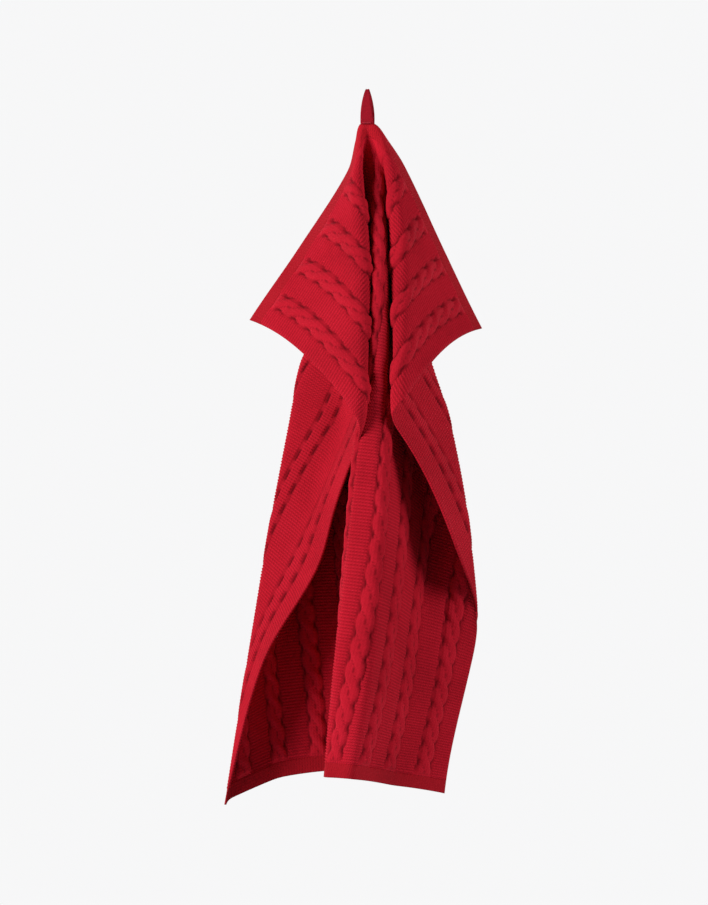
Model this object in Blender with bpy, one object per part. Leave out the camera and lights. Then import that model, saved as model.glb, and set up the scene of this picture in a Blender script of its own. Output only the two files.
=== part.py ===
"""A cable-knit hand towel, hanging from the tape loop sewn to the middle of its short top edge.

Metres, +Z up, the front towards -Y. The origin is on the hook, at the top of the loop's inside.
Seen from its gathering point at the seam, the cloth is a fan of 180 degrees. The folds run down the
fan as fold lines, and a section at any distance from the gathering point is a rounded zigzag
through those lines.
"""

from math import cos, pi, radians, sin

import bmesh
import bpy
import numpy as np
from mathutils import Vector

MM = 0.001

# Cloth, laid flat.
WIDTH = 0.500
LENGTH = 0.660
BAND = 0.016  # plain knitted band along each short end
CLOTH = 0.0030  # thickness of the plain solid
GAP = 0.0003  # kept between touching pieces
THIN_REACH = 0.110  # the cloth is squeezed thinner where it is nearer to the seam than this
THIN_SHARE = 0.10  # share of its thickness that is left at the seam
COLUMNS = 64
PANEL_ROWS = 34
BAND_ROWS = 2
CENTRE_CROWDING = 0.15  # 0 spaces the columns evenly, 1 crowds them at the centre
APEX = 0.0020  # the fan's gathering point lies this far above the top edge
PROBE = 0.001  # step along the cloth for finding which way it faces

# Hanging loop.
LOOP_HEIGHT = 0.0300  # from the seam to the top of the tape
TAPE = 0.0012
TAPE_WIDTH = 0.0134
TIP_WIDTH = 0.0032
TAPER = 1.6  # 1 narrows the tape evenly along the loop, more keeps it wide for longer
LOOP_BELLY = 0.0066  # half the widest distance between the legs, to the tape's middle
TIP_PINCH = 0.25  # share by which the loop narrows at its tip, seen from the side
SIDE_CURVE = 0.9  # 1 gives the loop the sides of an ellipse, less makes them fuller
LEG_APART = 0.0052  # half the distance between the legs at their ends
LEG_DROP = 0.0050  # how far the legs reach below the seam
LOOP_TURN = radians(-16)
LOOP_STEPS = 20

# Bar tacks, which sew the legs down.
TACK_WIDTH = 0.0084
TACK_HEIGHT = 0.0016
TACK_DEPTH = 0.0010
TACK_DROP = 0.0038  # from the seam down to the middle of a tack
TACK_STAND_OFF = 0.0004  # the legs spread by less than this at the tacks

SEAM_Z = -(LOOP_HEIGHT - TAPE)

# Distances from the seam at which each fold line is given.
STATIONS = (0.012, 0.030, 0.060, 0.150, 0.250, 0.315, 0.440, 0.560, 0.700)

# Each fold line, from the left top edge to the right one: at each station its angle in the fan, in
# degrees, and its place from the seam, in millimetres (right, back, up).
FOLD_LINES = {
    "left_top_edge": (
        (-90, -9, 2.5, -4), (-90, -12.5, 9, -20.5), (-90, -20, 27, -47), (-90, -69.5, 46, -121),
        (-90, -121.5, 76, -191.5), (-90, -156, 95, -247), (-44, -24, -2, -440), (-33, -84, 0, -552),
        (-25, -137, 50, -694),
    ),
    "left_front_fold_outside": (
        (-56, -5, -2.5, -8.5), (-56, -8, -7, -27), (-56, -11, -14, -56), (-55.5, -8, -33, -146),
        (-54.5, -9, -45, -245), (-54.5, -16, -52, -310), (-36, -40, 16, -434), (-28, -100, 32, -543),
        (-22, -139, 58, -678),
    ),
    "left_front_fold_inside": (
        (-49, -4, -1.5, -9.5), (-49, -4, -4, -28.5), (-49, -4, -7, -58), (-50, 5, -22, -147),
        (-51, 2, -37, -246), (-51, -3, -44, -312), (-32, -53, 38, -431), (-26, -106, 42, -542),
        (-21, -141, 61, -677),
    ),
    "left_panel_hollow": (
        (-38, -2.2, 0.5, -10), (-38, -2, 3, -28), (-37, -5, 6, -55), (-40, -11, 0, -145),
        (-40, -24, 8, -245), (-36, -26, 38, -303), (-28.5, -70, 58, -424), (-24, -112, 56, -539),
        (-20.6, -142, 62.5, -676),
    ),
    "left_back_fold": (
        (-28, -2.5, 2.5, -11), (-27, -8, 10, -27), (-25, -20, 21, -52), (-29.5, -30, 22, -142),
        (-28, -69, 30, -240), (-25.5, -83, 60, -298), (-22.8, -105, 75, -417), (-21.5, -122, 70, -535),
        (-20.3, -143, 64, -675),
    ),
    "back_belly": (
        (-16, -1, 3, -11.5), (-16, -4, 13, -27), (-16, -9, 27, -52), (-17, -20, 44, -140),
        (-17, -36, 68, -240), (-15.5, -34, 92, -299), (-15, -58, 104, -420), (-16.6, -95, 100, -534),
        (-14.5, -91, 90, -675),
    ),
    "hidden_fold": (
        (-3, 0.5, 2.5, -11.7), (-3, 0, 12, -28), (-3, 0, 20, -56), (-3, -1, 5, -148),
        (-5, -5, 18, -249), (-6, -4, 38, -314), (-6, -5, 60, -433), (-6, 3, 82, -549),
        (-6, -10, 98, -684),
    ),
    "ridge": (
        (14, 2, 1, -11.8), (14, 4, 5, -29), (14, 5, 6, -59.5), (6, 5, -23, -148),
        (7.5, 5, -37, -248), (6, -9, -38, -313), (5, -23, -34, -438), (5, -36, -38, -556),
        (5, -46, -45, -681),
    ),
    "front_panel": (
        (26, 4, 0, -11), (26, 8, 1, -29), (26, 14, 1, -58), (13, 18, -25, -148),
        (11.5, 17, -39, -247), (11.5, 15, -40, -312), (9.5, 10, -48, -438), (9, -1, -54, -556),
        (9, -22, -62, -675),
    ),
    "right_recess": (
        (34, 5, 1.5, -10.5), (34, 10, 7, -28), (34, 17, 10, -56), (25, 22, 8, -146),
        (25, 30, 20, -246), (24, 44, 36, -308), (24, 60, 52, -431), (18, 40, 22, -556),
        (15.5, 24, 5, -671),
    ),
    "right_back_fold": (
        (42, 5.5, 0.5, -9.8), (42, 11, 5, -28), (42, 20, 8, -57), (34.4, 40, 25, -142),
        (34.4, 66, 32, -239), (33, 86, 40, -301), (30.3, 106, 28, -424), (27.5, 112, 80, -543),
        (21.5, 83, 62, -665),
    ),
    "right_front_fold_inside": (
        (51.5, 6, -1.5, -9), (51.5, 11, -3, -28), (51.5, 16, -5, -57), (52, 21, -19, -143),
        (53, 23, -37, -236), (53, 22, -47, -307), (37, 76, -27, -430), (30, 116, 90, -540),
        (24, 99, 76, -666),
    ),
    "right_front_fold_outside": (
        (57.5, 7.5, -2, -8), (57.5, 14, -6, -26), (57.5, 23, -12, -54), (57, 34, -29, -140),
        (56, 33, -44, -233), (56, 33, -53, -305), (50, 34, -60, -436), (33, 128, 100, -534),
        (27, 112, 90, -662),
    ),
    "right_top_edge": (
        (90, 10.5, 3, -5), (90, 20.5, 8, -18), (90, 37.5, 18, -43), (90, 76, 41, -121),
        (90, 118.5, 79, -200), (90, 151, 98, -252), (60, 40, -44, -438), (38, 140, 110, -528),
        (30, 125, 104, -658),
    ),
}
ROUNDING = 0.010  # half the length of cloth over which a fold bends
WIDEST_ROUNDING = radians(25)  # the same at the seam, as an angle in the fan
LEAN = radians(4.5)  # turns the drape about the seam until it hangs in balance


def material(name, colour, roughness):
    made = bpy.data.materials.new(name)
    made.use_nodes = True
    shader = made.node_tree.nodes["Principled BSDF"]
    shader.inputs["Base Color"].default_value = (*colour, 1)
    shader.inputs["Roughness"].default_value = roughness
    return made


def add(name, mesh, surface):
    mesh.materials.append(surface)
    made = bpy.data.objects.new(name, mesh)
    bpy.context.collection.objects.link(made)
    return made


def fold_table():
    """Distances, and for each fold line its angle and place at them, starting at the seam itself."""
    reach = np.array((0.0, *STATIONS))
    lines = []
    for rows in FOLD_LINES.values():
        rows = np.array(rows, float)
        rows[:, 0] = np.radians(rows[:, 0])
        rows[:, 1:] *= MM
        start = np.array([[rows[0, 0], 0.0, 0.0, 0.0]])
        lines.append(np.vstack((start, rows)))
    return reach, np.array(lines)


REACH, LINES = fold_table()


def lines_at(distance):
    """Every fold line's angle and place at one distance from the seam, on smooth curves."""
    k = int(np.clip(np.searchsorted(REACH, distance) - 1, 0, len(REACH) - 2))
    before, after = max(k - 1, 0), min(k + 2, len(REACH) - 1)
    span = REACH[k + 1] - REACH[k]
    t = (distance - REACH[k]) / span
    slope_in = (LINES[:, k + 1] - LINES[:, before]) / (REACH[k + 1] - REACH[before]) * span
    slope_out = (LINES[:, after] - LINES[:, k]) / (REACH[after] - REACH[k]) * span
    start = (2 * t**3 - 3 * t**2 + 1) * LINES[:, k] + (t**3 - 2 * t**2 + t) * slope_in
    end = (3 * t**2 - 2 * t**3) * LINES[:, k + 1] + (t**3 - t**2) * slope_out
    return start + end


def area_before(angles, places, angle):
    """The running integral of the zigzag through the fold lines, up to an angle."""
    angles = np.concatenate(([angles[0] - 1], angles, [angles[-1] + 1]))
    first = places[0] - (places[1] - places[0]) / (angles[2] - angles[1])
    last = places[-1] + (places[-1] - places[-2]) / (angles[-2] - angles[-3])
    places = np.vstack((first, places, last))
    total = np.zeros(3)
    for a, b, p, q in zip(angles, angles[1:], places, places[1:]):
        if angle <= a:
            break
        part = min(1.0, (angle - a) / (b - a))
        total += (b - a) * part * (p + (q - p) * part / 2)
    return total


def drape(across, down):
    """Where the cloth's middle surface hangs, across from its centre line and down from its edge."""
    down = down + APEX
    distance = float(np.hypot(across, down))
    angle = float(np.arctan2(across, down))
    table = lines_at(distance)
    half = min(WIDEST_ROUNDING, ROUNDING / distance)
    low = area_before(table[:, 0], table[:, 1:], angle - half)
    high = area_before(table[:, 0], table[:, 1:], angle + half)
    x, y, z = (high - low) / (2 * half)
    leaning_y = y * cos(LEAN) + z * sin(LEAN)
    leaning_z = z * cos(LEAN) - y * sin(LEAN)
    return np.array((x, leaning_y, leaning_z + SEAM_Z))


def facing(across, down):
    """The unit normal of the cloth's middle surface, towards its face side."""
    along_u = drape(across + PROBE, down) - drape(across - PROBE, down)
    along_v = drape(across, down + PROBE) - drape(across, down - PROBE)
    normal = np.cross(along_v, along_u)
    return normal / np.linalg.norm(normal)


def thickness(across, down):
    squeezed = min(1.0, np.hypot(across, down) / THIN_REACH)
    return CLOTH * (THIN_SHARE + (1 - THIN_SHARE) * squeezed)


def column_places():
    t = np.linspace(-1, 1, COLUMNS + 1)
    crowded = (1 - CENTRE_CROWDING) * t + CENTRE_CROWDING * t**3
    return crowded * WIDTH / 2


def strip(name, surface, top, bottom, rows):
    """A closed strip of the draped cloth between two distances from its top edge."""
    across = column_places()
    down = np.linspace(top, bottom, rows + 1)
    middle = np.array([[drape(u, v) for u in across] for v in down])
    offset = np.array([[facing(u, v) * thickness(u, v) / 2 for u in across] for v in down])
    work = bmesh.new()
    front = [[work.verts.new(p) for p in row] for row in middle + offset]
    back = [[work.verts.new(p) for p in row] for row in middle - offset]
    for i in range(rows):
        for j in range(COLUMNS):
            a, b = front[i][j], front[i][j + 1]
            c, d = front[i + 1][j + 1], front[i + 1][j]
            work.faces.new((a, d, c, b))
            a, b = back[i][j], back[i][j + 1]
            c, d = back[i + 1][j + 1], back[i + 1][j]
            work.faces.new((a, b, c, d))
    for i in range(rows):
        work.faces.new((front[i][0], back[i][0], back[i + 1][0], front[i + 1][0]))
        work.faces.new((front[i][-1], front[i + 1][-1], back[i + 1][-1], back[i][-1]))
    for j in range(COLUMNS):
        work.faces.new((front[0][j], front[0][j + 1], back[0][j + 1], back[0][j]))
        work.faces.new((front[-1][j], back[-1][j], back[-1][j + 1], front[-1][j + 1]))
    bmesh.ops.recalc_face_normals(work, faces=work.faces)
    bmesh.ops.triangulate(work, faces=work.faces)
    mesh = bpy.data.meshes.new(name)
    work.to_mesh(mesh)
    work.free()
    mesh.shade_smooth()
    return add(name, mesh, surface)


def loop_line():
    """The tape's middle in the loop's own plane, from the front leg's end over the tip to the back."""
    points = []
    for i in range(LOOP_STEPS + 1):
        t = i / LOOP_STEPS
        side = cos(pi * t)
        rise = sin(pi * t)
        width = LOOP_BELLY * (1 - TIP_PINCH * rise**4) + (LEG_APART - LOOP_BELLY) * (1 - rise) ** 2
        height = SEAM_Z - LEG_DROP + (LOOP_HEIGHT + LEG_DROP - TAPE / 2) * rise**SIDE_CURVE
        points.append(Vector((0, -width * side, height)))
    return points


def hanging_loop(surface):
    line = loop_line()
    work = bmesh.new()
    rings = []
    for i, point in enumerate(line):
        ahead = line[min(i + 1, len(line) - 1)] - line[max(i - 1, 0)]
        outward = Vector((0, ahead.z, -ahead.y)).normalized() * TAPE / 2
        rise = sin(pi * i / LOOP_STEPS)
        half = (TAPE_WIDTH + (TIP_WIDTH - TAPE_WIDTH) * rise**TAPER) / 2
        across = Vector((half, 0, 0))
        corners = (point - across + outward, point + across + outward,
                   point + across - outward, point - across - outward)
        rings.append([work.verts.new(c) for c in corners])
    for ring, following in zip(rings, rings[1:]):
        for j in range(4):
            k = (j + 1) % 4
            work.faces.new((ring[j], ring[k], following[k], following[j]))
    work.faces.new(rings[0])
    work.faces.new(rings[-1])
    bmesh.ops.recalc_face_normals(work, faces=work.faces)
    mesh = bpy.data.meshes.new("hanging_loop")
    work.to_mesh(mesh)
    work.free()
    loop = add("hanging_loop", mesh, surface)
    loop.rotation_euler.z = LOOP_TURN
    return loop


def bar_tack(name, surface, side):
    """A satin-stitched bar across one leg of the loop, standing just off the tape."""
    work = bmesh.new()
    bmesh.ops.create_cube(work, size=1)
    mesh = bpy.data.meshes.new(name)
    bmesh.ops.scale(work, verts=work.verts, vec=(TACK_WIDTH, TACK_DEPTH, TACK_HEIGHT))
    off_tape = LEG_APART + TACK_STAND_OFF + TAPE / 2 + GAP + TACK_DEPTH / 2
    place = Vector((0, side * off_tape, SEAM_Z - TACK_DROP))
    bmesh.ops.translate(work, verts=work.verts, vec=place)
    bmesh.ops.bevel(work, geom=work.edges, offset=TACK_DEPTH / 4, segments=1)
    work.to_mesh(mesh)
    work.free()
    tack = add(name, mesh, surface)
    tack.rotation_euler.z = LOOP_TURN
    return tack


def build():
    for thing in list(bpy.data.objects):
        bpy.data.objects.remove(thing)
    knit = material("red_cotton_knit", (0.54, 0.010, 0.025), 0.9)
    plain = material("plain_band_knit", (0.46, 0.009, 0.019), 0.9)
    tape = material("loop_tape", (0.33, 0.007, 0.018), 0.8)
    thread = material("sewing_thread", (0.50, 0.030, 0.050), 0.6)
    strip("top_band", plain, 0, BAND - GAP / 2, BAND_ROWS)
    strip("knit_panel", knit, BAND + GAP / 2, LENGTH - BAND - GAP / 2, PANEL_ROWS)
    strip("bottom_band", plain, LENGTH - BAND + GAP / 2, LENGTH, BAND_ROWS)
    hanging_loop(tape)
    bar_tack("front_bar_tack", thread, -1)
    bar_tack("back_bar_tack", thread, 1)


build()
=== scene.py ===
"""The looks of a cable-knit hand towel that hangs in folds from its tape loop.

The cloth is knitted in relief over the drape that the CAD source hangs it in: rope cables and purl
ridges on its face, flat columns with puckers on its back. The tape loop is woven and the bar tacks
are stitched. Metres, +Z up, the front towards -Y, and the origin on the hook.
"""

from math import cos, pi, radians, sin

import bmesh
import bpy
import numpy as np
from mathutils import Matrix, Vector

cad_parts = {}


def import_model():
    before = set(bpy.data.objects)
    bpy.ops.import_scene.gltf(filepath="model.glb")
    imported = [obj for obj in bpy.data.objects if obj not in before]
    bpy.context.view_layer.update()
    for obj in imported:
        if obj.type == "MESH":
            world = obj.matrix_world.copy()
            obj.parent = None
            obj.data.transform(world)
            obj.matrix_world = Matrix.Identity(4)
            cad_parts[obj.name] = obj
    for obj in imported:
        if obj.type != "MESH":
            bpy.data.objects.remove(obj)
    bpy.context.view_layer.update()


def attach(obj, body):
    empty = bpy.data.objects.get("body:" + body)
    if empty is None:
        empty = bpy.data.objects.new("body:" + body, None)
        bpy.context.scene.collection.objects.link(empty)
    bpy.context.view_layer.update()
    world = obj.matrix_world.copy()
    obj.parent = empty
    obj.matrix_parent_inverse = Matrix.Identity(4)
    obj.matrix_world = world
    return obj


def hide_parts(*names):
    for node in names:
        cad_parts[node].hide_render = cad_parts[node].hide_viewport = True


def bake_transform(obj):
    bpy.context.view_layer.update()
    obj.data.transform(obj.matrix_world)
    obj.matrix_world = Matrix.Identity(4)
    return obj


MM = 0.001

# The flat towel and its drape, as in the CAD source.
WIDTH = 0.500
LENGTH = 0.660
BAND = 0.016  # depth of the band along the top edge, and of the one along the bottom edge
APEX = 0.002  # how far above the top edge the folds' gathering point lies
LOOP_HEIGHT = 0.0300
TAPE = 0.0012  # thickness of the loop's tape
SEAM_Z = -(LOOP_HEIGHT - TAPE)
ROUNDING = 0.010  # a fold is rounded over this distance to each side ...
WIDEST_ROUNDING = radians(25)  # ... but over no more than this angle
LEAN = radians(4.5)  # how far the whole drape swings towards the front
PROBE = 0.001  # distance over which the cloth's slope is measured
# Distances from the gathering point, on the flat towel, at which each fold line has a row.
STATIONS = (0.012, 0.030, 0.060, 0.150, 0.250, 0.315, 0.440, 0.560, 0.700)
# A row gives the line's angle on the flat towel, in degrees from the centre line, and then the
# x, y and z where it hangs, in mm from the seam and before the lean.
FOLD_LINES = {
    "left_top_edge": (
        (-90, -9, 2.5, -4), (-90, -12.5, 9, -20.5), (-90, -20, 27, -47), (-90, -69.5, 46, -121),
        (-90, -121.5, 76, -191.5), (-90, -156, 95, -247), (-44, -24, -2, -440), (-33, -84, 0, -552),
        (-25, -137, 50, -694),
    ),
    "left_front_fold_outside": (
        (-56, -5, -2.5, -8.5), (-56, -8, -7, -27), (-56, -11, -14, -56), (-55.5, -8, -33, -146),
        (-54.5, -9, -45, -245), (-54.5, -16, -52, -310), (-36, -40, 16, -434), (-28, -100, 32, -543),
        (-22, -139, 58, -678),
    ),
    "left_front_fold_inside": (
        (-49, -4, -1.5, -9.5), (-49, -4, -4, -28.5), (-49, -4, -7, -58), (-50, 5, -22, -147),
        (-51, 2, -37, -246), (-51, -3, -44, -312), (-32, -53, 38, -431), (-26, -106, 42, -542),
        (-21, -141, 61, -677),
    ),
    "left_panel_hollow": (
        (-38, -2.2, 0.5, -10), (-38, -2, 3, -28), (-37, -5, 6, -55), (-40, -11, 0, -145),
        (-40, -24, 8, -245), (-36, -26, 38, -303), (-28.5, -70, 58, -424), (-24, -112, 56, -539),
        (-20.6, -142, 62.5, -676),
    ),
    "left_back_fold": (
        (-28, -2.5, 2.5, -11), (-27, -8, 10, -27), (-25, -20, 21, -52), (-29.5, -30, 22, -142),
        (-28, -69, 30, -240), (-25.5, -83, 60, -298), (-22.8, -105, 75, -417), (-21.5, -122, 70, -535),
        (-20.3, -143, 64, -675),
    ),
    "back_belly": (
        (-16, -1, 3, -11.5), (-16, -4, 13, -27), (-16, -9, 27, -52), (-17, -20, 44, -140),
        (-17, -36, 68, -240), (-15.5, -34, 92, -299), (-15, -58, 104, -420), (-16.6, -95, 100, -534),
        (-14.5, -91, 90, -675),
    ),
    "hidden_fold": (
        (-3, 0.5, 2.5, -11.7), (-3, 0, 12, -28), (-3, 0, 20, -56), (-3, -1, 5, -148),
        (-5, -5, 18, -249), (-6, -4, 38, -314), (-6, -5, 60, -433), (-6, 3, 82, -549),
        (-6, -10, 98, -684),
    ),
    "ridge": (
        (14, 2, 1, -11.8), (14, 4, 5, -29), (14, 5, 6, -59.5), (6, 5, -23, -148),
        (7.5, 5, -37, -248), (6, -9, -38, -313), (5, -23, -34, -438), (5, -36, -38, -556),
        (5, -46, -45, -681),
    ),
    "front_panel": (
        (26, 4, 0, -11), (26, 8, 1, -29), (26, 14, 1, -58), (13, 18, -25, -148),
        (11.5, 17, -39, -247), (11.5, 15, -40, -312), (9.5, 10, -48, -438), (9, -1, -54, -556),
        (9, -22, -62, -675),
    ),
    "right_recess": (
        (34, 5, 1.5, -10.5), (34, 10, 7, -28), (34, 17, 10, -56), (25, 22, 8, -146),
        (25, 30, 20, -246), (24, 44, 36, -308), (24, 60, 52, -431), (18, 40, 22, -556),
        (15.5, 24, 5, -671),
    ),
    "right_back_fold": (
        (42, 5.5, 0.5, -9.8), (42, 11, 5, -28), (42, 20, 8, -57), (34.4, 40, 25, -142),
        (34.4, 66, 32, -239), (33, 86, 40, -301), (30.3, 106, 28, -424), (27.5, 112, 80, -543),
        (21.5, 83, 62, -665),
    ),
    "right_front_fold_inside": (
        (51.5, 6, -1.5, -9), (51.5, 11, -3, -28), (51.5, 16, -5, -57), (52, 21, -19, -143),
        (53, 23, -37, -236), (53, 22, -47, -307), (37, 76, -27, -430), (30, 116, 90, -540),
        (24, 99, 76, -666),
    ),
    "right_front_fold_outside": (
        (57.5, 7.5, -2, -8), (57.5, 14, -6, -26), (57.5, 23, -12, -54), (57, 34, -29, -140),
        (56, 33, -44, -233), (56, 33, -53, -305), (50, 34, -60, -436), (33, 128, 100, -534),
        (27, 112, 90, -662),
    ),
    "right_top_edge": (
        (90, 10.5, 3, -5), (90, 20.5, 8, -18), (90, 37.5, 18, -43), (90, 76, 41, -121),
        (90, 118.5, 79, -200), (90, 151, 98, -252), (60, 40, -44, -438), (38, 140, 110, -528),
        (30, 125, 104, -658),
    ),
}

# The knitting on the face.
BODY = 0.0022  # thickness of the cloth between its ridges
CABLES = 10
CABLE_PITCH = 0.0485  # from one cable's centre to the next
CABLE_HALF = 0.0104  # from a cable's centre to the groove beside it
CABLE_MARGIN = 0.0124  # from a cable's centre to where the ground starts
SHOULDER = 0.002  # how far inside its groove a cable reaches its full height
CROSSING = 0.0240  # from one crossing of a cable's strands to the next
STRAND_SWING = 0.0036  # how far a strand runs to either side of the cable's centre
SWING_POWER = 0.8  # below 1, the strands stay apart for longer and cross over faster
STRAND_HALF = 0.0068  # half a strand's width
STRAND_RISE = 0.0026  # how far a strand stands above the ground
CROSS_LIFT = 0.0010  # how far the front strand rises, and the back one sinks, at a crossing
SCALLOP = 0.0018  # how much narrower a cable is at a crossing than between two, at each side
CREASE = 0.0005  # painted shade marks a crease between the strands where their heights differ by less than this
GROOVE = 0.0012  # depth of the groove beside a cable
GROOVE_HALF = 0.0024  # half its width
RIDGES = 196  # purl ridges from band to band
RIDGE_RISE = 0.00060  # how far a ridge rises above the plain cloth, and a valley sinks below it
SELVEDGE = 0.0040  # width of the strip along each side where the ridges die away
SELVEDGE_FLAT = 0.4  # the share of it that is quite flat
RELIEF_START = 0.006  # length over which the relief grows from each band

# The knitting on the back.
BACK_COLUMN = 0.0062  # half the width of the flat column that a cable makes on the back
COLUMN_OUTSIDE = 0.003  # the column's edge slopes from this far outside its line ...
COLUMN_INSIDE = 0.002  # ... to this far inside it
BACK_RISE = 0.0009  # how far the column stands above the ground
RIDGE_LOSS = 0.6  # how much lower the ridges are on the column, as a share
BACK_GROOVE_OUTSIDE = 0.0012  # from the column's line to the groove beside it
BACK_GROOVE_HALF = 0.0022  # half that groove's width
BACK_GROOVE_SHARE = 0.6  # its depth, as a share of GROOVE
PUCKER = 0.0022  # depth of a pucker
PUCKER_HALF = 0.0022  # half its width
PUCKER_NEAR = 0.0035  # it is whole up to this distance from the crossing ...
PUCKER_FAR = 0.0105  # ... and ends at this distance
STAGGER = 0.4  # how much higher the puckers on a column's right are, as a share of CROSSING

# Painted shade, put into the knit's base colour where shade falls: how dark each of these is painted,
# from 0 to 1, and in SHADES what share of the colour each amount leaves.
RIDGE_SHADE = 0.42  # the valleys between the ridges
ROPE_SHADE = 0.16  # painted shade over a cable's stitches, all across the cable
BAND_SHADE = 0.22  # painted shade for the bands' close stitches, even all over the bands
CREASE_SHADE = 0.55  # the creases between two strands
GROOVE_SHADE_LOW = 0.30  # the grooves beside a cable, midway between two crossings; 1 at a crossing
BACK_GROOVE_SHADE = 0.5
PUCKER_SHADE = 0.95
SHADES = ((0.0, 1.0), (0.5, 0.50), (1.0, 0.20))

# Near the seam, where the folds are squeezed together.
FADE_NEAR = 0.015  # the relief fades in from this distance from the seam ...
FADE_FAR = 0.075  # ... to this one
THIN_REACH = 0.110  # the cloth has its whole thickness from this distance on ...
THIN_SHARE = 0.10  # ... and this share of it at the seam

# Mesh steps.
ROWS_PER_RIDGE = 3
BAND_ROWS = 10
CABLE_STEPS = 12
GROUND_STEPS = 5
TAPE_ROWS = 96
TAPE_COLUMNS = 12
TACK_RINGS = 9
THREAD_SIDES = 6
FLOOR_SIDES = 96

# The tape loop.
LOOP_TURN = radians(-16)  # the loop is turned this far about the vertical
LOOP_BELLY = 0.0066  # half the distance between the legs where they are widest apart
LEG_APART = 0.0019  # half the distance between the legs' ends
LEG_DROP = 0.0050  # how far the legs' ends hang below the seam
TIP_PINCH = 0.25  # how much narrower the loop is at its tip, as a share
SIDE_CURVE = 0.9  # the lower this is, the fuller the loop's top
TAPE_WIDTH = 0.0134
TIP_WIDTH = 0.0032  # width of the tape where it is creased over the hook
TAPER = 1.6  # above 1, the tape keeps its width for longer up the legs
TAPE_RIB = 0.00012  # height of the weave's ribs
TAPE_CUP = 0.0006  # how far the tape's edges curl inwards at the tip
EDGE_LOSS = 0.55  # how much thinner the tape is at its edges, as a share

# The bar tacks.
TACK_WIDTH = 0.0084
TACK_HEIGHT = 0.0016
TACK_DROP = 0.0038  # how far below the seam a tack's middle lies
TACK_STAND_OFF = 0.0004  # from the tape's outside to where the threads start
TACK_BULGE = 0.0005  # how far the threads arch out
TACK_STITCHES = 18
THREAD = 0.00042  # thickness of the thread
ZIGZAG = 0.0001  # how far each stitch is set off to one side, by turns

# Colours, and the stitches and yarn in the materials. Noise scales are in repeats per metre.
KNIT_COLOUR = (0.54, 0.010, 0.025)
BAND_COLOUR = (0.46, 0.009, 0.019)
TAPE_COLOUR = (0.33, 0.007, 0.018)
THREAD_COLOUR = (0.50, 0.030, 0.050)
STITCH = 0.0034  # width of a stitch
COURSE = (LENGTH - 2 * BAND) / RIDGES  # height of a stitch
STITCH_RISE = 0.00016
VEE_SLANT = 0.9  # how far a V stitch's arms climb, in courses for each stitch's width
VEE_RISE = 0.6  # the arms' share of a V stitch's relief ...
VEE_VALLEY = 0.5  # ... and that of the valley between them
FUZZ_SCALE = 900
FUZZ_RISE = 0.0003
FUZZ_STRENGTH = 0.5
YARN_SCALE = 320
YARN_SHARE = 0.35  # how much of the colour's unevenness goes from yarn to yarn
PATCH_SHARE = 0.65  # how much of it comes in wide patches
PATCH_SCALE = 14
FINE_DETAIL = 3
KNIT_DARK = 0.80  # the darkest yarn, as a share of the colour
KNIT_LIGHT = (1.12, 1.35, 1.3)  # the lightest yarn, the same way
KNIT_STOPS = (0.3, 0.5, 0.72)  # where the dark, plain and light yarns lie on the noise
KNIT_ROUGHNESS = 0.80  # of the smoothest yarn ...
KNIT_ROUGHER = 0.16  # ... and how much more the roughest has
KNIT_SPECULAR = 0.05
SHEEN = 0.06
SHEEN_ROUGHNESS = 0.45
SHEEN_TINT = (1.0, 0.35, 0.42, 1)
TAPE_SCALE = 700
TAPE_BUMP = 0.0002
TAPE_STRENGTH = 0.6
TAPE_DARK = 0.75
TAPE_STOPS = (0.3, 0.6)
TAPE_ROUGHNESS = 0.7
THREAD_ROUGHNESS = 0.45
TAPE_ROUGHER = 0.2
TAPE_SPECULAR = 0.06

# The stage.
VIEW_HEIGHT = 0.905  # metres seen from top to bottom at the towel
CAMERA_DISTANCE = 2.2
LOOK_AT = Vector((-0.0135, 0, -0.362))
SENSOR = 36  # mm, as the lens is
LIGHT_TARGET = Vector((0, 0, -0.4))
LIGHTS = (  # name, place, diameter in metres and power in watts
    ("key", (-1.85, -1.1, 0.1), 1.1, 57),
    ("fill", (1.85, -1.1, 0.3), 1.1, 31),
    ("back_left", (-1.7, 1.6, 0.5), 1.2, 13),
    ("back_right", (1.7, 1.6, 0.5), 1.2, 13),
)
STUDIO = (0.93, 0.93, 0.935, 1)
AMBIENT = 0.08  # the studio's strength as a light, where it is seen with strength 1
FLOOR_Z = -1.1
FLOOR_RADIUS = 0.9
FLOOR_COLOUR = (0.82, 0.82, 0.82, 1)
FLOOR_ROUGHNESS = 0.9


# ---------------------------------------------------------------- the drape

def fold_table():
    """Distances, and at each the angle and place of every fold line, starting at the seam itself."""
    reach = np.array((0.0, *STATIONS))
    lines = []
    for rows in FOLD_LINES.values():
        rows = np.array(rows, float)
        rows[:, 0] = np.radians(rows[:, 0])
        rows[:, 1:] *= MM
        start = np.array([[rows[0, 0], 0.0, 0.0, 0.0]])
        lines.append(np.vstack((start, rows)))
    return reach, np.array(lines).transpose(1, 0, 2)


REACH, LINES = fold_table()


def lines_at(distance):
    """Every fold line's angle and place at each distance from the seam, on smooth curves."""
    k = np.clip(np.searchsorted(REACH, distance) - 1, 0, len(REACH) - 2)
    before = np.maximum(k - 1, 0)
    after = np.minimum(k + 2, len(REACH) - 1)
    span = REACH[k + 1] - REACH[k]
    t = ((distance - REACH[k]) / span)[:, None, None]
    share_in = (span / (REACH[k + 1] - REACH[before]))[:, None, None]
    share_out = (span / (REACH[after] - REACH[k]))[:, None, None]
    slope_in = (LINES[k + 1] - LINES[before]) * share_in
    slope_out = (LINES[after] - LINES[k]) * share_out
    start = (2 * t**3 - 3 * t**2 + 1) * LINES[k] + (t**3 - 2 * t**2 + t) * slope_in
    end = (3 * t**2 - 2 * t**3) * LINES[k + 1] + (t**3 - t**2) * slope_out
    return start + end


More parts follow.
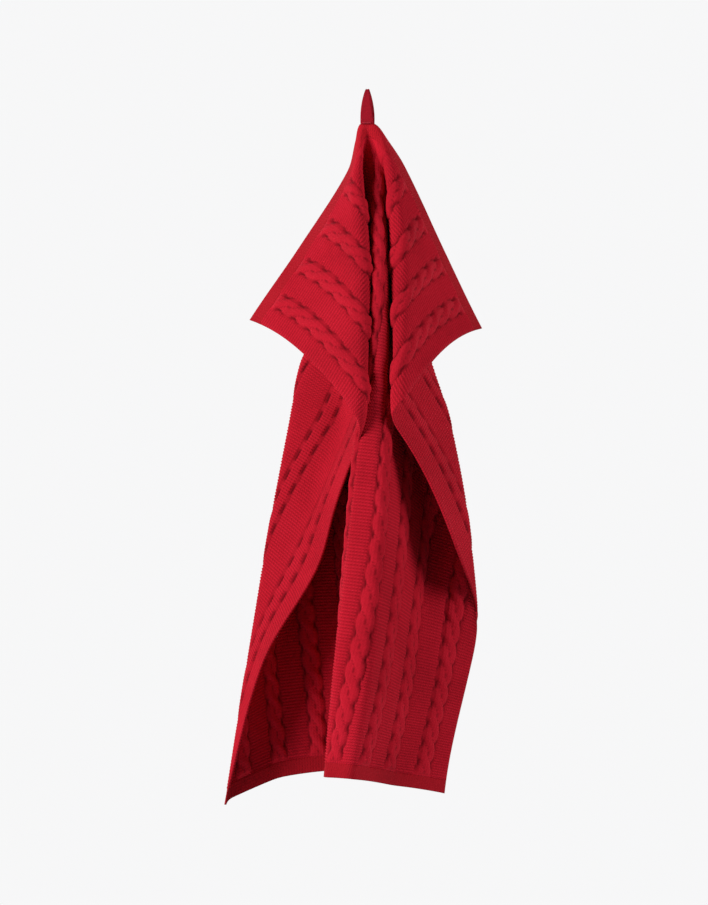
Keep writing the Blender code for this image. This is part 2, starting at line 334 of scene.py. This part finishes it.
def area_before(lines, angle):
    """The running integral of each point's zigzag through the fold lines, up to its angle."""
    angles, places = lines[:, :, 0], lines[:, :, 1:]
    low, high = angles[:, :1], angles[:, -1:]
    first = places[:, :1] - (places[:, 1:2] - places[:, :1]) / (angles[:, 1:2] - low)[..., None]
    last = places[:, -1:] + (places[:, -1:] - places[:, -2:-1]) / (high - angles[:, -2:-1])[..., None]
    angles = np.concatenate((low - 1, angles, high + 1), axis=1)
    places = np.concatenate((first, places, last), axis=1)
    total = np.zeros((len(angle), 3))
    for k in range(angles.shape[1] - 1):
        a, b = angles[:, k], angles[:, k + 1]
        p, q = places[:, k], places[:, k + 1]
        part = np.clip((angle - a) / (b - a), 0, 1)[:, None]
        total += (b - a)[:, None] * part * (p + (q - p) * part / 2)
    return total


def drape(across, down):
    """Where the cloth's middle surface hangs, across from its centre line and down from its edge."""
    down = down + APEX
    distance = np.hypot(across, down)
    angle = np.arctan2(across, down)
    lines = lines_at(distance)
    half = np.minimum(WIDEST_ROUNDING, ROUNDING / distance)
    place = (area_before(lines, angle + half) - area_before(lines, angle - half)) / (2 * half[:, None])
    x, y, z = place.T
    return np.stack((x, y * cos(LEAN) + z * sin(LEAN), z * cos(LEAN) - y * sin(LEAN) + SEAM_Z), axis=1)


def facing(across, down):
    """The unit normal of the cloth's middle surface, towards its face side."""
    along_u = drape(across + PROBE, down) - drape(across - PROBE, down)
    along_v = drape(across, down + PROBE) - drape(across, down - PROBE)
    normal = np.cross(along_v, along_u)
    return normal / np.linalg.norm(normal, axis=1)[:, None]


def surface_at(across, down):
    """Places and normals of a whole grid of points, worked out a row at a time."""
    places = np.array([drape(u, v) for u, v in zip(across, down)])
    normals = np.array([facing(u, v) for u, v in zip(across, down)])
    return places, normals


# ---------------------------------------------------------------- the knitting

def smooth(low, high, value):
    """0 at low, 1 at high, and a smooth slope between them."""
    t = np.clip((value - low) / (high - low), 0, 1)
    return t * t * (3 - 2 * t)


def dip(value, centre, width):
    """1 at the centre, falling smoothly to 0 at a width from it."""
    return np.maximum(0, 1 - ((value - centre) / width) ** 2) ** 2


def cable_centres():
    return (np.arange(CABLES) - (CABLES - 1) / 2) * CABLE_PITCH


def nearest_cable(across):
    """How far each point lies to the right of the cable nearest to it."""
    index = np.clip(np.round(across / CABLE_PITCH + (CABLES - 1) / 2), 0, CABLES - 1)
    return across - (index - (CABLES - 1) / 2) * CABLE_PITCH


def cable_zone(across):
    """1 on the cables, where the knitting is smooth, and 0 on the ground."""
    return smooth(CABLE_MARGIN, CABLE_HALF - SHOULDER, np.abs(nearest_cable(across)))


def ridge_wave(down):
    return np.cos(2 * pi * RIDGES * (down - BAND) / (LENGTH - 2 * BAND))


def ridges(across, down, share):
    """Height of a share of the ridges, which die away along the towel's sides."""
    ground = RIDGE_RISE * ridge_wave(down) * share
    return ground * smooth(SELVEDGE * SELVEDGE_FLAT, SELVEDGE, WIDTH / 2 - np.abs(across))


def clear_of_bands(down):
    """0 at both bands and 1 away from them."""
    return smooth(0, RELIEF_START, down - BAND) * smooth(0, RELIEF_START, LENGTH - BAND - down)


def strands(off, down):
    """Height of a two-strand rope over the ground, and how creased it is between the strands.

    The strand that runs down to the right is in front.
    """
    turn = pi * (down - BAND) / CROSSING
    swing = np.cos(turn)
    bent = STRAND_SWING * np.sign(swing) * np.abs(swing) ** SWING_POWER
    lift = CROSS_LIFT * np.sin(turn) ** 2
    goes_right = np.sign(np.sin(turn))
    heights = []
    for side in (1, -1):
        reach = np.clip(1 - ((off - side * bent) / STRAND_HALF) ** 2, 0, 1)
        front = -side * goes_right
        heights.append(np.where(reach > 0, STRAND_RISE * np.sqrt(reach) + front * lift * reach, 0))
    one, other = heights
    crease = dip(one - other, 0, CREASE) * (one > 0) * (other > 0)
    return np.maximum(one, other), crease


def face_relief(across, down):
    """Height of the towel's face over the plain cloth, and how much painted shade its hollows get, from 0
    to 1.
    """
    off = nearest_cable(across)
    inside = cable_zone(across)
    ends = clear_of_bands(down)
    crossed = np.sin(pi * (down - BAND) / CROSSING) ** 2
    beside = dip(np.abs(off), CABLE_HALF - SCALLOP * crossed**2, GROOVE_HALF)
    rope, crease = strands(off, down)
    # Painted shade: darker colour in the ridge valleys, in dashes along the grooves beside the cables, in
    # the strands' creases, and over the cables.
    painted_valley_shade = RIDGE_SHADE * (1 - ridge_wave(down)) / 2 * (1 - inside)
    painted_groove_shade = ends * beside * (GROOVE_SHADE_LOW + (1 - GROOVE_SHADE_LOW) * crossed)
    painted_crease_shade = ends * CREASE_SHADE * crease * inside
    painted_shade = np.maximum.reduce((painted_valley_shade, painted_groove_shade, painted_crease_shade, ROPE_SHADE * inside))
    return ridges(across, down, 1 - inside) + ends * (rope * inside - GROOVE * beside), painted_shade


def back_relief(across, down):
    """The same of its back: the same ridges, and flat columns with a pucker at each crossing."""
    off = nearest_cable(across)
    from_line = np.abs(off) - BACK_COLUMN
    column = smooth(COLUMN_OUTSIDE, -COLUMN_INSIDE, from_line)
    ends = clear_of_bands(down)
    beside = dip(from_line, BACK_GROOVE_OUTSIDE, BACK_GROOVE_HALF)
    phase = (down - BAND) / CROSSING + STAGGER * (off > 0)
    to_crossing = np.abs(phase - np.floor(phase) - 0.5) * CROSSING
    pucker = dip(from_line, 0, PUCKER_HALF) * smooth(PUCKER_FAR, PUCKER_NEAR, to_crossing)
    # Painted shade: darker colour in the ridge valleys, in the grooves beside the columns, and in the
    # puckers.
    painted_valley_shade = RIDGE_SHADE * (1 - ridge_wave(down)) / 2
    painted_shade = np.maximum.reduce((painted_valley_shade, ends * BACK_GROOVE_SHADE * beside, ends * PUCKER_SHADE * pucker))
    columns = BACK_RISE * column - BACK_GROOVE_SHARE * GROOVE * beside - PUCKER * pucker
    return ridges(across, down, 1 - RIDGE_LOSS * column) + ends * columns, painted_shade


def level(across, down):
    """The relief of a band, which is flat, and an even painted shade for its close stitches."""
    return np.zeros_like(across), np.full_like(across, BAND_SHADE)


def everywhere(across):
    return np.ones_like(across)


def panel_columns():
    """Across the towel: cables get close columns, the ground between them wider ones."""
    flat = SELVEDGE * SELVEDGE_FLAT
    places = [-WIDTH / 2, -WIDTH / 2 + flat, -WIDTH / 2 + SELVEDGE]
    for centre in cable_centres():
        places.extend(np.linspace(places[-1], centre - CABLE_MARGIN, GROUND_STEPS + 1)[1:-1])
        places.extend(np.linspace(centre - CABLE_MARGIN, centre + CABLE_MARGIN, CABLE_STEPS + 1))
    places.extend(np.linspace(places[-1], WIDTH / 2 - SELVEDGE, GROUND_STEPS + 1)[1:])
    places.extend((WIDTH / 2 - flat, WIDTH / 2))
    return np.array(places)


def closed_sheet(name, front, back):
    """A closed mesh from two grids of points, front and back, sewn together round the edge."""
    rows, columns = front.shape[:2]
    count = rows * columns
    index = np.arange(count).reshape(rows, columns)
    a, b = index[:-1, :-1].ravel(), index[:-1, 1:].ravel()
    d, c = index[1:, :-1].ravel(), index[1:, 1:].ravel()
    faces = [np.stack((a, d, c, b), 1), np.stack((a, b, c, d), 1) + count]
    for rim in (index[:, 0], index[-1, :], index[::-1, -1], index[0, ::-1]):
        p, q = rim[:-1], rim[1:]
        faces.append(np.stack((p, p + count, q + count, q), 1))
    faces = np.vstack(faces)
    points = np.vstack((front.reshape(-1, 3), back.reshape(-1, 3)))
    mesh = bpy.data.meshes.new(name)
    mesh.vertices.add(2 * count)
    mesh.vertices.foreach_set("co", points.astype(np.float32).ravel())
    mesh.loops.add(4 * len(faces))
    mesh.loops.foreach_set("vertex_index", faces.astype(np.int32).ravel())
    mesh.polygons.add(len(faces))
    mesh.polygons.foreach_set("loop_start", np.arange(0, 4 * len(faces), 4, dtype=np.int32))
    mesh.update(calc_edges=True)
    mesh.validate()
    mesh.shade_smooth()
    return mesh


def store(mesh, name, kind, field, values):
    """Keep a value for each point of a mesh, where its material can read it."""
    made = mesh.attributes.new(name, kind, "POINT")
    made.data.foreach_set(field, values.astype(np.float32).ravel())


def thinning(across, down):
    """The share of its thickness that the cloth has."""
    squeezed = np.minimum(1, np.hypot(across, down) / THIN_REACH)
    return THIN_SHARE + (1 - THIN_SHARE) * squeezed


def relief_sheet(name, down, face, back, smoothness):
    """A sheet over the drape with one relief on its face and another on its back."""
    u, v = np.meshgrid(panel_columns(), down)
    places, normals = surface_at(u, v)
    fade = smooth(FADE_NEAR, FADE_FAR, np.hypot(u, v))
    body = BODY * thinning(u, v) / 2
    front_height, front_painted_shade = face(u, v)
    back_height, back_painted_shade = back(u, v)
    front = places + normals * (body + front_height * fade)[..., None]
    behind = places - normals * (body + back_height * fade)[..., None]
    mesh = closed_sheet(name, front, behind)
    flat = np.stack((u, v, smoothness(u)), axis=-1)
    store(mesh, "flat_place", "FLOAT_VECTOR", "vector", np.stack((flat, flat)))
    # Painted shade: kept for each point, so the material can darken the base colour by it.
    store(mesh, "painted_shade", "FLOAT", "value", np.stack((front_painted_shade * fade, back_painted_shade * fade)))
    return mesh


def add(name, mesh, surface):
    mesh.materials.append(surface)
    made = bpy.data.objects.new(name, mesh)
    bpy.context.scene.collection.objects.link(made)
    return made


def knit_panel(surface):
    rows = np.linspace(BAND, LENGTH - BAND, RIDGES * ROWS_PER_RIDGE + 1)
    mesh = relief_sheet("knitted_panel", rows, face_relief, back_relief, cable_zone)
    return add("knitted_panel", mesh, surface)


def band(name, surface, top, bottom):
    rows = np.linspace(top, bottom, BAND_ROWS + 1)
    return add(name, relief_sheet(name, rows, level, level, everywhere), surface)


# ---------------------------------------------------------------- materials

class Nodes:
    """Short names for wiring up one material's nodes."""

    def __init__(self, name):
        self.material = bpy.data.materials.new(name)
        self.material.use_nodes = True
        self.tree = self.material.node_tree
        self.shader = self.tree.nodes["Principled BSDF"]

    def wire(self, value, socket):
        """Give a socket a value, which is another node's socket or a plain number or colour."""
        if isinstance(value, bpy.types.NodeSocket):
            self.tree.links.new(value, socket)
        else:
            socket.default_value = value

    def math(self, operation, a, b=0.0, c=0.0):
        """The result of a sum with up to three terms, each a number or a socket."""
        node = self.tree.nodes.new("ShaderNodeMath")
        node.operation = operation
        for value, socket in zip((a, b, c), node.inputs):
            self.wire(value, socket)
        return node.outputs[0]

    def attribute(self, name):
        node = self.tree.nodes.new("ShaderNodeAttribute")
        node.attribute_name = name
        return node

    def parts(self, vector):
        node = self.tree.nodes.new("ShaderNodeSeparateXYZ")
        self.wire(vector, node.inputs[0])
        return node.outputs[:3]

    def noise(self, vector, scale, detail=2.0):
        node = self.tree.nodes.new("ShaderNodeTexNoise")
        self.wire(vector, node.inputs["Vector"])
        node.inputs["Scale"].default_value = scale
        node.inputs["Detail"].default_value = detail
        return node.outputs["Fac"]

    def place(self):
        """The place on the object, in metres."""
        return self.tree.nodes.new("ShaderNodeTexCoord").outputs["Object"]

    def ramp(self, fac, *stops):
        """A colour for each value, from stops that are pairs of a value and a colour."""
        node = self.tree.nodes.new("ShaderNodeValToRGB")
        self.wire(fac, node.inputs[0])
        marks = node.color_ramp.elements
        while len(marks) < len(stops):
            marks.new(0.5)
        for mark, (place, colour) in zip(marks, stops):
            mark.position = place
            mark.color = (*colour, 1)
        return node.outputs["Color"]

    def multiply(self, one, other):
        node = self.tree.nodes.new("ShaderNodeVectorMath")
        node.operation = "MULTIPLY"
        self.wire(one, node.inputs[0])
        self.wire(other, node.inputs[1])
        return node.outputs[0]

    def bump(self, height, distance, strength=1.0, normal=None):
        node = self.tree.nodes.new("ShaderNodeBump")
        self.wire(height, node.inputs["Height"])
        node.inputs["Distance"].default_value = distance
        node.inputs["Strength"].default_value = strength
        if normal is not None:
            self.wire(normal, node.inputs["Normal"])
        return node.outputs["Normal"]


def stitches(n):
    """Height of the stitches: purl bumps on the ground, V stitches where the knitting is smooth."""
    u, v, zone = n.parts(n.attribute("flat_place").outputs["Vector"])
    turn_u = n.math("MULTIPLY", u, 2 * pi / STITCH)
    turn_v = n.math("MULTIPLY", v, 2 * pi / COURSE)
    purl = n.math("MULTIPLY", n.math("COSINE", turn_u), n.math("COSINE", turn_v))
    share = n.math("FRACT", n.math("DIVIDE", u, STITCH))
    across = n.math("ABSOLUTE", n.math("SUBTRACT", share, 0.5))
    slant = n.math("MULTIPLY_ADD", across, 2 * pi * VEE_SLANT, turn_v)
    vee = n.math("MULTIPLY", n.math("COSINE", slant), VEE_RISE)
    valley = n.math("MULTIPLY", n.math("COSINE", n.math("MULTIPLY", across, 2 * pi)), -VEE_VALLEY)
    on_ground = n.math("MULTIPLY", purl, n.math("SUBTRACT", 1.0, zone))
    on_cables = n.math("MULTIPLY", n.math("ADD", vee, valley), zone)
    return n.math("ADD", on_ground, on_cables)


def knit_material(name, colour):
    """Cotton knit: its stitches, fuzz, uneven dye, and painted shade that darkens its base colour in its
    hollows.
    """
    n = Nodes(name)
    fuzz = n.noise(n.place(), FUZZ_SCALE, FINE_DETAIL)
    stitched = n.bump(stitches(n), STITCH_RISE)
    n.wire(n.bump(fuzz, FUZZ_RISE, FUZZ_STRENGTH, stitched), n.shader.inputs["Normal"])
    patches = n.math("MULTIPLY", n.noise(n.place(), PATCH_SCALE), PATCH_SHARE)
    yarn = n.noise(n.place(), YARN_SCALE)
    tone = n.math("MULTIPLY_ADD", yarn, YARN_SHARE, patches)
    dark = tuple(part * KNIT_DARK for part in colour)
    light = tuple(part * share for part, share in zip(colour, KNIT_LIGHT))
    hue = n.ramp(tone, *zip(KNIT_STOPS, (dark, colour, light)))
    # Painted shade: the stored amount darkens the base colour, through SHADES.
    painted_shade = n.attribute("painted_shade").outputs["Fac"]
    shade = n.ramp(painted_shade, *((value, (left,) * 3) for value, left in SHADES))
    n.wire(n.multiply(hue, shade), n.shader.inputs["Base Color"])
    roughness = n.math("MULTIPLY_ADD", yarn, KNIT_ROUGHER, KNIT_ROUGHNESS)
    n.wire(roughness, n.shader.inputs["Roughness"])
    n.shader.inputs["Specular IOR Level"].default_value = KNIT_SPECULAR
    n.shader.inputs["Sheen Weight"].default_value = SHEEN
    n.shader.inputs["Sheen Roughness"].default_value = SHEEN_ROUGHNESS
    n.shader.inputs["Sheen Tint"].default_value = SHEEN_TINT
    return n.material


def plain_material(name, colour, roughness):
    """Tape or thread: fine fibres of uneven tone, with painted shade making them darkest in the dips of
    their bump, where they are also smoothest.
    """
    n = Nodes(name)
    yarn = n.noise(n.place(), TAPE_SCALE, FINE_DETAIL)
    dark = tuple(part * TAPE_DARK for part in colour)
    # Painted shade: the colour follows the bump's noise, so it is darkest in the bump's dips.
    n.wire(n.ramp(yarn, *zip(TAPE_STOPS, (dark, colour))), n.shader.inputs["Base Color"])
    n.wire(n.math("MULTIPLY_ADD", yarn, TAPE_ROUGHER, roughness), n.shader.inputs["Roughness"])
    n.wire(n.bump(yarn, TAPE_BUMP, TAPE_STRENGTH), n.shader.inputs["Normal"])
    n.shader.inputs["Specular IOR Level"].default_value = TAPE_SPECULAR
    return n.material


# ---------------------------------------------------------------- loop and tacks

def loop_line(t):
    """The tape's middle in the loop's own plane, from the front leg's end (0) to the back's (1)."""
    rise = np.sin(pi * t)
    width = LOOP_BELLY * (1 - TIP_PINCH * rise**4) + (LEG_APART - LOOP_BELLY) * (1 - rise) ** 2
    height = SEAM_Z - LEG_DROP + (LOOP_HEIGHT + LEG_DROP - TAPE / 2) * rise**SIDE_CURVE
    return np.stack((np.zeros_like(t), -width * np.cos(pi * t), height), axis=-1)


def hanging_loop(surface):
    """The ribbed tape, wide at its legs and creased to a narrow tip."""
    t = np.linspace(0, 1, TAPE_ROWS + 1)
    middle = loop_line(t)
    ahead = np.gradient(middle, axis=0)
    outward = np.stack((np.zeros_like(t), ahead[:, 2], -ahead[:, 1]), axis=-1)
    outward /= np.linalg.norm(outward, axis=1)[:, None]
    rise = np.sin(pi * t)
    half = (TAPE_WIDTH + (TIP_WIDTH - TAPE_WIDTH) * rise**TAPER) / 2
    side = np.linspace(-1, 1, TAPE_COLUMNS + 1)
    across = half[:, None] * side
    ribs = TAPE_RIB * np.cos(np.arange(TAPE_ROWS + 1) * pi)[:, None] * (1 - side**8)
    cupped = TAPE_CUP * rise[:, None] ** 2 * side**2
    lift = TAPE / 2 * (1 - EDGE_LOSS * side**6) + ribs
    base = middle[:, None] + np.stack((across, 0 * across, 0 * across), axis=-1)
    base = base - outward[:, None] * cupped[..., None]
    front = base + outward[:, None] * lift[..., None]
    behind = base - outward[:, None] * lift[..., None]
    loop = add("tape_loop", closed_sheet("tape_loop", front, behind), surface)
    loop.rotation_euler.z = LOOP_TURN
    return loop


def thread_ring(work, centre, out):
    """A ring of points round a thread."""
    aside = Vector((1, 0, 0))
    ring = []
    for j in range(THREAD_SIDES):
        a = 2 * pi * j / THREAD_SIDES
        ring.append(work.verts.new(centre + (out * cos(a) + aside * sin(a)) * THREAD / 2))
    return ring


def stitch_over(work, x, side):
    """One thread that arches over the bar from its upper edge to its lower one."""
    y = side * (LEG_APART + TACK_STAND_OFF + TAPE / 2)
    rings = []
    for k in range(TACK_RINGS):
        turn = pi * k / (TACK_RINGS - 1)
        height = SEAM_Z - TACK_DROP + TACK_HEIGHT / 2 * cos(turn)
        centre = Vector((x, y + side * TACK_BULGE * sin(turn), height))
        rings.append(thread_ring(work, centre, Vector((0, side * sin(turn), cos(turn)))))
    for ring, following in zip(rings, rings[1:]):
        for j in range(THREAD_SIDES):
            k = (j + 1) % THREAD_SIDES
            work.faces.new((ring[j], ring[k], following[k], following[j]))
    work.faces.new(rings[0])
    work.faces.new(rings[-1])


def bar_tack(name, surface, side):
    """A satin-stitched bar across one leg of the loop: close threads, side by side."""
    work = bmesh.new()
    for i in range(TACK_STITCHES):
        x = (i / (TACK_STITCHES - 1) - 0.5) * (TACK_WIDTH - THREAD)
        stitch_over(work, x + ZIGZAG * (-1) ** i, side)
    bmesh.ops.recalc_face_normals(work, faces=work.faces)
    mesh = bpy.data.meshes.new(name)
    work.to_mesh(mesh)
    work.free()
    mesh.shade_smooth()
    tack = add(name, mesh, surface)
    tack.rotation_euler.z = LOOP_TURN
    return tack


# ---------------------------------------------------------------- stage

def area_light(name, place, size, power):
    data = bpy.data.lights.new(name, "AREA")
    data.shape = "DISK"
    data.size = size
    data.energy = power
    made = bpy.data.objects.new(name, data)
    bpy.context.scene.collection.objects.link(made)
    made.location = place
    made.rotation_euler = (LIGHT_TARGET - Vector(place)).to_track_quat("-Z", "Y").to_euler()


def camera():
    data = bpy.data.cameras.new("camera")
    data.sensor_width = SENSOR
    data.lens = SENSOR * CAMERA_DISTANCE / VIEW_HEIGHT
    made = bpy.data.objects.new("camera", data)
    bpy.context.scene.collection.objects.link(made)
    made.location = LOOK_AT - Vector((0, CAMERA_DISTANCE, 0))
    made.rotation_euler = (radians(90), 0, 0)
    bpy.context.scene.camera = made


def world():
    """A pale studio: seen as it is, and lighting the towel more weakly than it looks."""
    made = bpy.data.worlds.new("studio")
    bpy.context.scene.world = made
    made.use_nodes = True
    tree = made.node_tree
    background = tree.nodes["Background"]
    background.inputs["Color"].default_value = STUDIO
    path = tree.nodes.new("ShaderNodeLightPath")
    strength = tree.nodes.new("ShaderNodeMapRange")
    strength.inputs["To Min"].default_value = AMBIENT
    strength.inputs["To Max"].default_value = 1.0
    tree.links.new(path.outputs["Is Camera Ray"], strength.inputs["Value"])
    tree.links.new(strength.outputs["Result"], background.inputs["Strength"])


def floor():
    work = bmesh.new()
    bmesh.ops.create_circle(work, cap_ends=True, segments=FLOOR_SIDES, radius=FLOOR_RADIUS)
    mesh = bpy.data.meshes.new("floor")
    work.to_mesh(mesh)
    work.free()
    n = Nodes("pale_floor")
    n.shader.inputs["Base Color"].default_value = FLOOR_COLOUR
    n.shader.inputs["Roughness"].default_value = FLOOR_ROUGHNESS
    made = add("floor", mesh, n.material)
    made.location.z = FLOOR_Z


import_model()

knit = knit_material("cable_knit_cotton", KNIT_COLOUR)
plain = knit_material("band_knit_cotton", BAND_COLOUR)
tape = plain_material("woven_tape", TAPE_COLOUR, TAPE_ROUGHNESS)
thread = plain_material("sewing_thread", THREAD_COLOUR, THREAD_ROUGHNESS)

top = band("top_band_knit", plain, 0, BAND)
panel = knit_panel(knit)
bottom = band("bottom_band_knit", plain, LENGTH - BAND, LENGTH)
loop = hanging_loop(tape)
tacks = [bar_tack("front_tack_thread", thread, -1), bar_tack("back_tack_thread", thread, 1)]

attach(top, "towel")
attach(panel, "towel")
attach(bottom, "towel")
for piece in (loop, *tacks):
    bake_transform(piece)
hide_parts("top_band")
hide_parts("knit_panel")
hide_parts("bottom_band")
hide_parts("hanging_loop")
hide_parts("front_bar_tack")
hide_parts("back_bar_tack")

floor()
for light in LIGHTS:
    area_light(*light)
world()
camera()
bpy.context.scene.view_settings.view_transform = "Standard"
